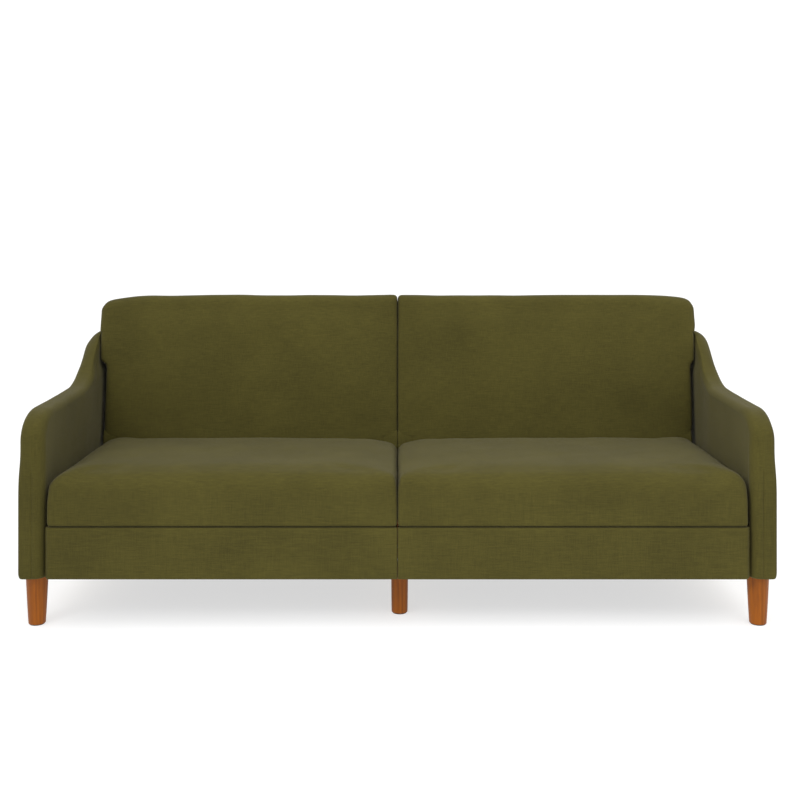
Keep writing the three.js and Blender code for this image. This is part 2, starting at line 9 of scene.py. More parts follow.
import bpy
import numpy as np
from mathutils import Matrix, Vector


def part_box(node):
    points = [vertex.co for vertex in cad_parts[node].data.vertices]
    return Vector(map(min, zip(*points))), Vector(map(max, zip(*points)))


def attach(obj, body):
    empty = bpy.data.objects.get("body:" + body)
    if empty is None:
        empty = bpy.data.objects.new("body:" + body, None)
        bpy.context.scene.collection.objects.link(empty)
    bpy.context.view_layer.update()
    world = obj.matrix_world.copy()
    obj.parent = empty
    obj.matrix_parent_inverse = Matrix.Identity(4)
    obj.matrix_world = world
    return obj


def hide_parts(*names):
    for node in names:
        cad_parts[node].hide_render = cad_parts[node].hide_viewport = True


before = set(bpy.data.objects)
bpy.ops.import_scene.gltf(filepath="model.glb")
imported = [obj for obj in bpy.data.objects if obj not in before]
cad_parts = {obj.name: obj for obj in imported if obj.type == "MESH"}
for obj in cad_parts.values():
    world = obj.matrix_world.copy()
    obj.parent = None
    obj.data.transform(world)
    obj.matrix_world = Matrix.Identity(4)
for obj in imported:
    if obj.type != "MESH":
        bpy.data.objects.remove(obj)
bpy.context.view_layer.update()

TINY = 1e-9  # a length below this counts as none
MIDDLE = -0.0010  # where right-hand pieces start, a little past x = 0, until their end is flattened
STEP = 0.0115  # spacing of the grid lines on the cushions and backs

PIVOT_Y, PIVOT_Z = 0.210, 0.380  # the axis that both halves of the back turn on
RECLINE = math.radians(7)  # lean of the upright back
ARM_CIRCLE = 0.388  # the arms stay inside this circle about the axis

# A back in its own frame: how far its faces are behind the axis and above it, and x of its sides.
BACK_FRONT, BACK_REAR = -0.045, 0.0855
BACK_BOTTOM, BACK_TOP = -0.045, 0.507
BACK_LEDGE = 0.041  # below this height a back is narrower, clear of its hinges
BACK_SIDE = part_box("right_arm_cover")[0][0] - 0.0038  # outer side, beside the arm
BACK_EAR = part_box("right_back_cushion")[1][0]  # outer side of its ear, over the arm

ARM_BOTTOM = 0.1375  # height of the lower end of an arm
ARM_SEAM = 1.0000  # x of the seam down the front of the right arm
ARM_ROLL = 0.019  # radius of the rolled edges beside that seam
ARM_AXIS = 0.640  # depth of the axis behind an arm's front
ARM_BOARD = 0.9825  # the right arm's inner face is never thinned past this x, clear of the board inside

LEG_TOP = 0.1417  # every leg ends here, against the rails or hidden in the arm padding
LEG_HOLE = 0.0255  # radius of the cut-out in the dust cover round a middle leg
MIDDLE_LEG_X = 0.006  # the middle legs stand a little to the right


# ---------- small helpers ----------


def smooth(value, low, high):
    """0 up to low and 1 from high on, with an eased step between them."""
    t = np.clip((value - low) / (high - low), 0, 1)
    return t * t * (3 - 2 * t)


def new_object(name, verts, faces, material):
    mesh = bpy.data.meshes.new(name)
    mesh.from_pydata([tuple(v) for v in verts], [], [tuple(f) for f in faces])
    mesh.validate()
    mesh.polygons.foreach_set("use_smooth", [True] * len(mesh.polygons))
    mesh.update()
    obj = bpy.data.objects.new(name, mesh)
    bpy.context.collection.objects.link(obj)
    mesh.materials.append(material)
    return obj


def positions(obj):
    co = np.empty(len(obj.data.vertices) * 3)
    obj.data.vertices.foreach_get("co", co)
    return co.reshape(-1, 3)


def set_positions(obj, co):
    obj.data.vertices.foreach_set("co", np.ascontiguousarray(co).ravel())
    obj.data.update()


def normals(obj):
    out = np.empty(len(obj.data.vertices) * 3)
    obj.data.vertices.foreach_get("normal", out)
    return out.reshape(-1, 3)


def freeze(obj):
    """Applies every modifier of the object to its mesh."""
    graph = bpy.context.evaluated_depsgraph_get()
    mesh = bpy.data.meshes.new_from_object(obj.evaluated_get(graph))
    obj.modifiers.clear()
    obj.data = mesh


def subdivide(obj):
    mod = obj.modifiers.new("Subdivision", "SUBSURF")
    mod.levels = mod.render_levels = 1


def ripple(co, seed, size, waves=7):
    """Smooth seeded noise, about -1 to 1, with features of the given size."""
    rng = np.random.default_rng(seed)
    total = np.zeros(len(co))
    for _ in range(waves):
        direction = rng.normal(size=3)
        direction /= np.linalg.norm(direction)
        pitch = size * rng.uniform(0.7, 1.6)
        total += np.sin(co @ direction * (2 * math.pi / pitch) + rng.uniform(0, 6.28))
    return total / math.sqrt(waves)


def grid_lines(low, high, step, extra=()):
    """Even steps from low to high, with extra lines added and near duplicates dropped."""
    count = max(2, round((high - low) / step))
    closest = 0.0009
    lines = sorted([low + (high - low) * i / count for i in range(count + 1)] + list(extra))
    kept = [lines[0]]
    for value in lines[1:]:
        if value - kept[-1] > closest or value in extra:
            kept.append(value)
    return np.array(kept)


def block_grid(xs, ys, zs):
    """Vertices and quads of the surface of a block with the given grid lines."""
    nx, ny, nz = len(xs) - 1, len(ys) - 1, len(zs) - 1
    index, verts, faces = {}, [], []

    def vertex(i, j, k):
        if (i, j, k) not in index:
            index[i, j, k] = len(verts)
            verts.append((xs[i], ys[j], zs[k]))
        return index[i, j, k]

    def quad(*corners):
        faces.append([vertex(*corner) for corner in corners])

    for i in range(nx):
        for j in range(ny):
            quad((i, j, nz), (i + 1, j, nz), (i + 1, j + 1, nz), (i, j + 1, nz))
            quad((i, j, 0), (i, j + 1, 0), (i + 1, j + 1, 0), (i + 1, j, 0))
    for i in range(nx):
        for k in range(nz):
            quad((i, 0, k), (i + 1, 0, k), (i + 1, 0, k + 1), (i, 0, k + 1))
            quad((i, ny, k), (i, ny, k + 1), (i + 1, ny, k + 1), (i + 1, ny, k))
    for j in range(ny):
        for k in range(nz):
            quad((0, j, k), (0, j, k + 1), (0, j + 1, k + 1), (0, j + 1, k))
            quad((nx, j, k), (nx, j + 1, k), (nx, j + 1, k + 1), (nx, j, k + 1))
    return np.array(verts), faces


def round_edges(co, radii):
    """Rounds the edges of a block.

    radii has an x, a y and a z radius for each vertex; 0 leaves that axis out.
    """
    low, high = co.min(axis=0), co.max(axis=0)
    core = np.clip(co, low + radii, high - radii)
    away = (co - core) / np.where(radii > 0, radii, 1) * (radii > 0)
    length = np.linalg.norm(away, axis=1, keepdims=True)
    moved = core + radii * away / np.maximum(length, TINY)
    return np.where((length > TINY) & (radii > 0), moved, co)


def puff(obj, cap, pressure=4.0, frames=20):
    """Inflates a closed cover with a cloth simulation.

    cap is how far each vertex may move; 0 pins it.
    """
    scene = bpy.context.scene
    before = positions(obj)
    pins = obj.vertex_groups.new(name="pins")
    for i in np.nonzero(cap <= 0)[0]:
        pins.add([int(i)], 1.0, "REPLACE")
    cloth = obj.modifiers.new("Puff", "CLOTH")
    cloth.settings.quality = 4
    cloth.settings.mass = 0.3
    cloth.settings.use_pressure = True
    cloth.settings.uniform_pressure_force = pressure
    cloth.settings.effector_weights.gravity = 0
    cloth.settings.vertex_group_mass = "pins"
    cloth.collision_settings.use_collision = False
    cloth.collision_settings.use_self_collision = False
    cloth.point_cache.frame_start, cloth.point_cache.frame_end = 1, frames
    for number in range(1, frames + 1):
        scene.frame_set(number)
    graph = bpy.context.evaluated_depsgraph_get()
    after = positions(obj.evaluated_get(graph))
    obj.modifiers.clear()
    obj.vertex_groups.clear()
    scene.frame_set(1)
    move = after - before
    far = np.linalg.norm(move, axis=1)
    limit = np.maximum(cap, 1e-6)
    scale = np.where(far > TINY, limit * np.tanh(far / limit) / np.maximum(far, TINY), 0)
    set_positions(obj, before + move * scale[:, None])


def relax(obj, start):
    """Smooths the object a little. Its flat inner end, which meets the other half, stays as in start."""
    mod = obj.modifiers.new("Relax", "SMOOTH")
    mod.iterations, mod.factor = 2, 0.5
    freeze(obj)
    co = positions(obj)
    end = start[:, 0] < start[:, 0].min() + 1e-5
    co[end, 0] = start[end, 0]
    set_positions(obj, co)


def mirrored(obj, name):
    """A mirror image of the object across x = 0, with its own mesh."""
    co = positions(obj) * (-1, 1, 1)
    faces = [tuple(reversed(p.vertices)) for p in obj.data.polygons]
    return new_object(name, co, faces, obj.data.materials[0])


# ---------- materials ----------


class Nodes:
    """Builds a node tree with few words. Sockets are given and taken as sockets or plain values."""

    def __init__(self, name):
        self.material = bpy.data.materials.new(name)
        self.material.use_nodes = True
        self.tree = self.material.node_tree
        self.shader = self.tree.nodes["Principled BSDF"]
        self.place = self.add("ShaderNodeTexCoord")

    def add(self, kind, **settings):
        node = self.tree.nodes.new(kind)
        for key, value in settings.items():
            setattr(node, key, value)
        return node

    def feed(self, socket, value):
        if isinstance(value, bpy.types.NodeSocket):
            self.tree.links.new(value, socket)
        else:
            socket.default_value = value

    def constants(self, node, **values):
        for key, value in values.items():
            node.inputs[key.replace("_", " ")].default_value = value

    def math(self, operation, a, b=0.0):
        node = self.add("ShaderNodeMath", operation=operation)
        self.feed(node.inputs[0], a)
        self.feed(node.inputs[1], b)
        return node.outputs[0]

    def plus(self, a, b):
        return self.math("ADD", a, b)

    def times(self, a, b):
        return self.math("MULTIPLY", a, b)

    def mapped(self, scale, location=(0, 0, 0)):
        """Object coordinates, scaled and moved: a larger scale gives a finer pattern."""
        node = self.add("ShaderNodeMapping")
        self.feed(node.inputs["Vector"], self.place.outputs["Object"])
        self.constants(node, Scale=scale, Location=location)
        return node.outputs[0]

    def noise(self, vector, detail=2.0, roughness=0.5, distortion=0.0):
        node = self.add("ShaderNodeTexNoise")
        self.feed(node.inputs["Vector"], vector)
        self.constants(node, Scale=1.0, Detail=detail, Roughness=roughness, Distortion=distortion)
        return node.outputs[0]

    def split(self, vector):
        node = self.add("ShaderNodeSeparateXYZ")
        self.feed(node.inputs[0], vector)
        return node.outputs

    def ramp(self, value, stops):
        node = self.add("ShaderNodeValToRGB")
        self.feed(node.inputs[0], value)
        points = node.color_ramp.elements
        while len(points) < len(stops):
            points.new(0.5)
        for point, (position, colour) in zip(points, stops):
            point.position, point.color = position, (*colour, 1)
        return node.outputs[0]

    def rescale(self, value, from_low, from_high, to_low, to_high):
        node = self.add("ShaderNodeMapRange")
        for socket, number in zip(node.inputs[:5], (value, from_low, from_high, to_low, to_high)):
            self.feed(socket, number)
        return node.outputs[0]

    def bump(self, height, strength, distance):
        node = self.add("ShaderNodeBump")
        self.constants(node, Strength=strength, Distance=distance)
        self.feed(node.inputs["Height"], height)
        return node.outputs[0]

    def finish(self, colour, roughness, normal=None, **constants):
        self.feed(self.shader.inputs["Base Color"], colour)
        self.feed(self.shader.inputs["Roughness"], roughness)
        if normal is not None:
            self.feed(self.shader.inputs["Normal"], normal)
        self.constants(self.shader, **constants)
        return self.material


def linear(*srgb):
    """A colour given as 8-bit sRGB, as the linear numbers that shaders take."""
    return tuple(c / 255 / 12.92 if c <= 10 else ((c / 255 + 0.055) / 1.055) ** 2.4 for c in srgb)


def shade(colour, factor):
    """The colour made lighter or darker."""
    return tuple(min(1.0, c * factor) for c in colour)


def linen(name, colour):
    """Matt woven linen: crossed threads about 2 mm apart, slubs along both of them and a soft mottle."""
    n = Nodes(name)
    pitch, wander = 0.0022, 22.0  # from one thread to the next in metres, and how far they stray in radians
    stray = n.times(n.noise(n.mapped((9, 9, 9)), detail=3), wander)
    wave = [
        n.math("SINE", n.plus(n.times(axis, 2 * math.pi / pitch), stray))
        for axis in n.split(n.place.outputs["Object"])
    ]
    facing = [n.math("POWER", n.math("ABSOLUTE", axis), 3.0) for axis in n.split(n.place.outputs["Normal"])]
    pairs = ((1, 2), (0, 2), (0, 1))  # the two thread directions on a face that looks along x, y or z
    parts = [n.times(facing[i], n.times(wave[a], wave[b])) for i, (a, b) in enumerate(pairs)]
    weave = n.plus(n.plus(parts[0], parts[1]), parts[2])
    along_x = n.noise(n.mapped((34, 300, 520)), detail=3, roughness=0.6)
    along_z = n.noise(n.mapped((480, 420, 26), (3, 1, 2)), detail=3, roughness=0.6)
    slub = n.plus(n.times(along_x, 0.6), n.times(along_z, 0.4))
    mottle = n.noise(n.mapped((5, 5, 5), (1.7, 0.3, 0.9)), detail=4, roughness=0.55)
    tone = n.plus(n.times(slub, 0.72), n.times(mottle, 0.28))
    tone = n.plus(tone, n.times(weave, 0.045))
    stops = [(0.34, shade(colour, 0.72)), (0.5, colour), (0.66, shade(colour, 1.32))]
    height = n.plus(n.times(weave, 0.35), n.times(slub, 1.6))
    normal = n.bump(height, 0.42, 0.0011)
    rough = n.rescale(slub, 0.3, 0.7, 0.86, 0.97)
    return n.finish(
        n.ramp(tone, stops), rough, normal,
        Sheen_Weight=0.07, Sheen_Roughness=0.45, Sheen_Tint=(1.0, 0.95, 0.84, 1), Specular_IOR_Level=0.12,
    )


def timber(name, colour, dark, grain_axis, roughness, coat, rings=38.0, bands=0.26):
    """Straight-grained wood. grain_axis is 0, 1 or 2, the direction in which its fibres run.

    coat is how much varnish it has, and bands the share of the growth rings in its colour.
    """
    n = Nodes(name)

    def stretched(across, along, where=(0, 0, 0)):
        scale = [across] * 3
        scale[grain_axis] = along
        return n.mapped(scale, where)

    rows = n.add("ShaderNodeTexWave", wave_type="BANDS", bands_direction="DIAGONAL")
    n.feed(rows.inputs["Vector"], stretched(1.0, 0.05))
    n.constants(rows, Scale=rings, Distortion=7.0, Detail=3.0, Detail_Scale=1.3)
    fibres = n.noise(stretched(900, 14), detail=4, roughness=0.65)
    streaks = n.noise(stretched(130, 4, (0.4, 0.2, 0.7)), detail=3, roughness=0.6)
    patches = n.noise(stretched(14, 3, (2, 1, 4)), detail=2)
    tone = n.times(rows.outputs["Fac"], bands)
    for value, share in ((fibres, 0.26), (streaks, 0.60 - bands), (patches, 0.14)):
        tone = n.plus(tone, n.times(value, share))
    stops = [(0.3, dark), (0.5, colour), (0.72, shade(colour, 1.28))]
    normal = n.bump(n.plus(fibres, n.times(streaks, 0.6)), 0.18, 0.0005)
    rough = n.rescale(fibres, 0.3, 0.7, roughness - 0.06, roughness + 0.08)
    return n.finish(
        n.ramp(tone, stops), rough, normal,
        Coat_Weight=coat, Coat_Roughness=0.28, Specular_IOR_Level=0.18,
    )


def metal(name, colour, metallic, roughness, grain):
    """Coated or plated steel with a fine texture and faint rub marks."""
    n = Nodes(name)
    fine = n.noise(n.mapped((grain, grain, grain)), detail=3)
    rub = n.noise(n.mapped((28, 28, 90), (0.5, 0.1, 0.8)), detail=4, roughness=0.6)
    stops = [(0.35, shade(colour, 0.8)), (0.55, colour), (0.75, shade(colour, 1.3))]
    rough = n.rescale(rub, 0.3, 0.7, roughness - 0.08, roughness + 0.12)
    return n.finish(n.ramp(rub, stops), rough, n.bump(fine, 0.12, 0.0003), Metallic=metallic)


def plastic(name, colour):
    """Pebbled plastic with a little dust on it."""
    n = Nodes(name)
    pebble = n.noise(n.mapped((700, 700, 700)), detail=2)
    dust = n.noise(n.mapped((30, 30, 30)), detail=4, roughness=0.7)
    stops = [(0.4, colour), (0.7, shade(colour, 1.8))]
    return n.finish(n.ramp(dust, stops), n.rescale(dust, 0.3, 0.7, 0.5, 0.7), n.bump(pebble, 0.2, 0.0003))


def nonwoven(name, colour):
    """Thin spun-bonded lining: random fibres, pressed with a lattice of small dots."""
    n = Nodes(name)
    fibres = n.noise(n.mapped((420, 420, 420)), detail=4, roughness=0.7, distortion=1.2)
    x, y = n.split(n.place.outputs["Object"])[:2]
    lattice = 1500  # radians for each metre along a diagonal
    diagonals = [n.math("SINE", n.times(n.math(kind, x, y), lattice)) for kind in ("ADD", "SUBTRACT")]
    height = n.plus(fibres, n.times(n.times(*diagonals), 0.4))
    stops = [(0.35, shade(colour, 0.7)), (0.65, shade(colour, 1.7))]
    return n.finish(n.ramp(fibres, stops), 0.93, n.bump(height, 0.3, 0.0005), Specular_IOR_Level=0.2)


OLIVE = linear(69, 64, 27)
FABRIC = linen("Olive linen", OLIVE)
LEG_WOOD = timber("Honey beech", linear(136, 73, 4), linear(112, 57, 3), 2, 0.45, 0.08, bands=0.14)
PINE_X, PINE_Y = (
    timber(f"Pine along {axis}", linear(205, 172, 122), linear(168, 126, 78), number, 0.7, 0.0, 30.0)
    for number, axis in enumerate("xy")
)
BLACK_STEEL = metal("Black powder coat", linear(34, 34, 36), 0.0, 0.5, 900)
ZINC = metal("Bright zinc", linear(196, 199, 204), 1.0, 0.32, 400)
GLIDE = plastic("Black glide plastic", linear(22, 22, 22))
LINING = nonwoven("Black lining", linear(26, 26, 27))


def declare(obj, body, nodes):
    """Parents a piece to the empty of the body it rides on and hides the CAD nodes it replaces."""
    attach(obj, body)
    if nodes:
        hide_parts(*nodes)


# ---------- seat cushions ----------


def meet_other_half(co):
    """Flattens, a little unevenly, the end of a cushion that rests against the other half of the sofa."""
    side = math.copysign(1, co[:, 0].mean())
    gap, swing, pitch = 0.0002, 0.0004, 0.075
    wave = swing * np.sin(co[:, 1] * 2 * math.pi / pitch + 0.5)
    co[:, 0] = side * np.maximum(side * co[:, 0], gap + side * wave)
    return co


def seat_cushion():
    """The right-hand seat cushion, crowned, with softly rounded upper edges."""
    low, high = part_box("right_seat_cushion")
    fuller, crown = 0.0010, 0.010  # past the CAD cushion, and the height left for the swelling
    xs = grid_lines(MIDDLE, high[0] + 2 * fuller, STEP)
    ys = grid_lines(low[1] - fuller, high[1], STEP)
    zs = grid_lines(low[2] - fuller, high[2] - crown, STEP)
    co, faces = block_grid(xs, ys, zs)
    up = smooth(co[:, 2], zs[0] + 0.05, zs[-1] - 0.01)
    outer = smooth(co[:, 0], 0.75, 0.90)
    rear = smooth(co[:, 1], ys[-1] - 0.26, ys[-1] - 0.04)
    inner = 1 - smooth(co[:, 0], 0.01, 0.06)
    level = smooth(co[:, 1], ys[0] + 0.03, ys[0] + 0.10) * (1 - rear) * inner
    radii = np.stack([
        0.009 - 0.004 * inner * (1 - up) + (0.002 + 0.041 * outer + 0.018 * rear * (1 - outer)) * up,
        0.007 + 0.023 * up,
        0.0045 + (0.0225 - 0.013 * level - 0.006 * rear * inner + 0.020 * outer) * up,
    ], axis=1)
    obj = new_object("right_seat_cover", round_edges(co, radii), faces, FABRIC)
    start = co = positions(obj)
    edge_x = smooth(co[:, 0], 0.0, 0.16) * (1 - smooth(co[:, 0], xs[-1] - 0.095, xs[-1]))
    top = smooth(co[:, 2], zs[-1] - 0.05, zs[-1] - 0.005)
    front = 1 - smooth(co[:, 1], ys[0] + 0.004, ys[0] + 0.03)
    cap = 0.0012 + 0.0105 * top * (0.35 + 0.65 * edge_x) + 0.0035 * front * edge_x
    cap[co[:, 2] < zs[0] + 0.003] = 0
    puff(obj, cap)
    relax(obj, start)
    return obj


def finish_seat(obj, seed):
    """Gives one seat its own unevenness and meets it to the other."""
    co = positions(obj)
    n = normals(obj)
    top = smooth(co[:, 2], 0.39, 0.42)
    amount = 0.0010 * ripple(co, seed, 0.30) * (0.5 + 0.8 * top) + 0.0005 * ripple(co, seed + 1, 0.11)
    amount *= smooth(co[:, 2], 0.284, 0.31)
    rear = smooth(co[:, 1], 0.02, 0.14) * smooth(co[:, 2], 0.36, 0.42)
    inner = 1 - smooth(np.abs(co[:, 0]), 0.01, 0.15)
    co[:, 2] -= 0.013 * rear * inner**1.5  # it sinks a little at its inner rear corner
    right = smooth(co[:, 0], 0.86, 0.94)
    co[:, 2] += 0.006 * right * smooth(co[:, 2], 0.37, 0.41)  # and the right one is fuller by the arm
    set_positions(obj, meet_other_half(co + n * amount[:, None]))
    subdivide(obj)


# ---------- backs ----------


def back_foot_radii(co):
    """The y and z radii at the lower end of a back: a round front corner about the hinge axis."""
    foot = (1 - smooth(co[:, 2], 0.0, 0.05)) * (1 - smooth(co[:, 1], -0.01, 0.05))
    return 0.012 + 0.028 * foot, 0.013 + 0.030 * foot


def back_cushion():
    """The right-hand back cushion in its own frame (x, distance behind the axis, distance above it)."""
    side, ear = BACK_SIDE - 0.001, BACK_EAR + 0.0015
    foot_from, foot_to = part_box("right_back_frame")[0][0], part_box("right_back_frame")[1][0]
    foot_gap = 0.0013  # from the end of the timber frame to the foot, which stays clear of the pawls
    sharp = (BACK_LEDGE, BACK_LEDGE + 0.004, 0.274, 0.280, ARM_CIRCLE - 0.0060, ARM_CIRCLE - 0.0044)
    xs = grid_lines(MIDDLE, side, STEP)
    ys = grid_lines(BACK_FRONT, BACK_REAR, STEP)
    zs = grid_lines(BACK_BOTTOM, BACK_TOP, STEP, sharp)
    co, faces = block_grid(xs, ys, zs)
    up = smooth(co[:, 2], 0.35, 0.46)
    outer = smooth(co[:, 0], 0.80, 0.90)
    inner = 1 - smooth(co[:, 0], 0.0, 0.04)
    front = 1 - smooth(co[:, 1], -0.01, 0.05)
    foot_y, foot_z = back_foot_radii(co)
    above_ledge = smooth(co[:, 2], 0.03, 0.06)
    side_front = (0.006 + 0.006 * up) * outer * front
    radii = np.stack([
        0.003 + 0.003 * above_ledge + 0.002 * up + side_front + 0.015 * outer * up,
        foot_y - 0.003 * inner + 0.018 * up * (0.6 + 0.4 * front),
        foot_z + 0.012 * up * (1 - inner) + 0.018 * outer * up,
    ], axis=1)
    obj = new_object("right_back_cover", round_edges(co, radii), faces, FABRIC)
    start = positions(obj)
    middle = smooth(start[:, 0], 0.0, 0.15) * (1 - smooth(start[:, 0], side - 0.11, side))
    face = 1 - smooth(start[:, 1], -0.04, 0.0)
    height = smooth(start[:, 2], 0.02, 0.24) * (1 - smooth(start[:, 2], 0.42, 0.50))
    crest = smooth(start[:, 2], 0.47, 0.50)
    cap = 0.0009 + 0.0075 * face * middle * height + 0.0022 * crest * middle
    cap[(start[:, 2] < 0.02) | (start[:, 1] > BACK_REAR - 0.004)] = 0
    puff(obj, cap)
    relax(obj, start)
    x, y, z = positions(obj).T.copy()
    # The lower edge of the ear keeps its height, so that it clears the arm.
    held = smooth(start[:, 0], 0.86, 0.93) * np.exp(-(((start[:, 2] - ARM_CIRCLE) / 0.03) ** 2))
    z += (start[:, 2] - z) * held
    # Both ends are drawn in below the ledge.
    narrow = 1 - smooth(start[:, 2], BACK_LEDGE - 0.001, BACK_LEDGE + 0.003)
    inner_end, outer_end = 1 - smooth(x, 0.0, 0.12), smooth(x, 0.82, side)
    x += narrow * ((foot_from + foot_gap) * inner_end - (side - foot_to) * outer_end)
    # The side widens in two steps to the full width of the ear.
    widened = smooth(start[:, 2], 0.270, 0.288)
    in_ear = smooth(start[:, 2], ARM_CIRCLE - 0.0059, ARM_CIRCLE - 0.0045)
    x += (ear - side) * (0.81 * widened + 0.19 * in_ear) * smooth(x, 0.88, side - 0.008)
    # The top falls a little towards the side, and the ear's lower edge follows the arm's circle.
    z -= 0.010 * smooth(x, 0.80, 0.99) ** 1.5 * smooth(z, 0.42, 0.50)
    circle = np.sqrt(np.maximum(ARM_CIRCLE**2 - y**2, 0)) - ARM_CIRCLE
    z += circle * np.exp(-(((z - ARM_CIRCLE) / 0.05) ** 2)) * smooth(x, 0.8, 0.94)
    set_positions(obj, np.stack([x, y, z], axis=1))
    return obj


def tip_back(co):
    """From a back's own frame to the row frame, with the upright back's lean."""
    cos, sin = math.cos(RECLINE), math.sin(RECLINE)
    x, y, z = co.T
    return np.stack([x, PIVOT_Y + y * cos + z * sin, PIVOT_Z - y * sin + z * cos], axis=1)


def finish_back(obj, seed):
    """Gives one back its own unevenness, leans it back and meets it to the other."""
    co = positions(obj)
    n = normals(obj)
    face = 1 - smooth(co[:, 1], -0.03, 0.02)
    amount = 0.0011 * ripple(co, seed, 0.33) * (0.35 + 0.8 * face) + 0.0004 * ripple(co, seed + 1, 0.12)
    amount *= smooth(co[:, 2], 0.03, 0.10) * (1 - smooth(co[:, 1], 0.06, 0.08))
    across, side = np.abs(co[:, 0]), math.copysign(1, co[:, 0].mean())
    co[:, 0] -= side * 0.0045 * smooth(across, 0.955, 0.985) * smooth(co[:, 2], 0.455, 0.485)
    if side < 0:  # the left back has settled at its outer top corner
        co[:, 2] -= 0.0095 * smooth(across, 0.86, 0.985) * smooth(co[:, 2], 0.42, 0.505)
    else:  # and the right one reaches a little further out, above the arm and beside it
        beside = smooth(co[:, 2], 0.045, 0.070) * (1 - smooth(co[:, 2], 0.272, 0.286))
        beside *= 1 - smooth(co[:, 1], 0.0, 0.04)
        above = smooth(co[:, 2], ARM_CIRCLE - 0.004, ARM_CIRCLE + 0.012)
        co[:, 0] += 0.0070 * smooth(across, 0.92, 0.958) * beside
        co[:, 0] += 0.0040 * smooth(across, 0.94, 0.984) * above
    set_positions(obj, meet_other_half(tip_back(co + n * amount[:, None])))
    subdivide(obj)


def back_flap(name, x0, x1):
    """Padding that carries the lower end of the right-hand back past the far side of a hinge."""
    rear, top = 0.029, 0.060
    ys, zs = grid_lines(BACK_FRONT, rear, STEP), grid_lines(BACK_BOTTOM, top, STEP)
    co, faces = block_grid(grid_lines(x0, x1, 0.004), ys, zs)
    foot_y, foot_z = back_foot_radii(co)
    co = round_edges(co, np.stack([np.full(len(co), 0.003), foot_y, foot_z], axis=1))
    return new_object(name, tip_back(co), faces, FABRIC)


def back_skirt(name, x0, x1):
    """The strip of cover that hangs in front of a hinge of the right-hand back."""
    ys, zs = np.array([-0.0456, -0.0413, -0.0370]), grid_lines(-0.012, 0.060, 0.009)
    co, faces = block_grid(grid_lines(x0, x1, 0.006), ys, zs)
    co = round_edges(co, np.tile((0.0060, 0.0030, 0.0025), (len(co), 1)))
    from_side = co[:, 0] - x0 if x0 < 0.5 else x1 - co[:, 0]
    hidden = np.maximum(smooth(co[:, 2], 0.040, 0.060), smooth(from_side, 0.034, x1 - x0))
    co[:, 1] += 0.003 * hidden  # its upper and far edges dip into the cushion
    return new_object(name, tip_back(co), faces, FABRIC)


def back_panel(name):
    """The fabric panel that closes the rear of the right-hand back, drawn tight at its edge."""
    x0, x1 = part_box("right_back_panel")[0][0] - 0.001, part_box("right_back_panel")[1][0] + 0.001
    z0, z1 = -0.020, 0.463
    spacing = 0.016
    layers = np.array([0.0845, 0.0890, 0.0925])
    co, faces = block_grid(grid_lines(x0, x1, spacing), layers, grid_lines(z0, z1, spacing))
    co = round_edges(co, np.full(co.shape, 0.0034))
    x, y, z = co.T.copy()
    inside = smooth(x, x0, x0 + 0.034) * smooth(-x, -x1, 0.034 - x1)
    inside *= smooth(z, z0, z0 + 0.038) * smooth(-z, -z1, 0.038 - z1)
    drawn_in, pucker, pucker_pitch = 0.0014, 0.0004, 0.045
    y -= drawn_in * (1 - inside) * (y > 0.088)
    y += np.cos(x * 2 * math.pi / pucker_pitch) * (1 - inside) * pucker
    return new_object(name, tip_back(np.stack([x, y, z], axis=1)), faces, FABRIC)


# ---------- arms ----------


def bezier(p0, p1, p2, p3, count):
    """Points along a cubic curve."""
    t = np.linspace(0, 1, count)[:, None]
    p0, p1, p2, p3 = (np.array(p) for p in (p0, p1, p2, p3))
    return (1 - t) ** 3 * p0 + 3 * (1 - t) ** 2 * t * p1 + 3 * (1 - t) * t * t * p2 + t**3 * p3


def arm_top(depth):
    """Height of an arm's outline at a depth behind its front, before its front corner is rounded."""
    rest = bezier((0.0, 0.5955), (0.12, 0.596), (0.27, 0.597), (0.44, 0.608), 30)
    rest = np.concatenate([rest, bezier((0.44, 0.608), (0.535, 0.622), (0.575, 0.668), (0.61, 0.702), 20)])
    crest = bezier((0.61, 0.702), (0.645, 0.737), (0.672, 0.7605), (0.70, 0.7633), 20)
    fall_y = np.linspace(0.70, 0.86, 30)
    fall = np.stack([fall_y, PIVOT_Z + np.sqrt(ARM_CIRCLE**2 - (fall_y - ARM_AXIS) ** 2)], axis=1)
    line = np.concatenate([rest, crest, fall])
    order = np.argsort(line[:, 0], kind="stable")
    return np.interp(depth, line[order, 0], line[order, 1])


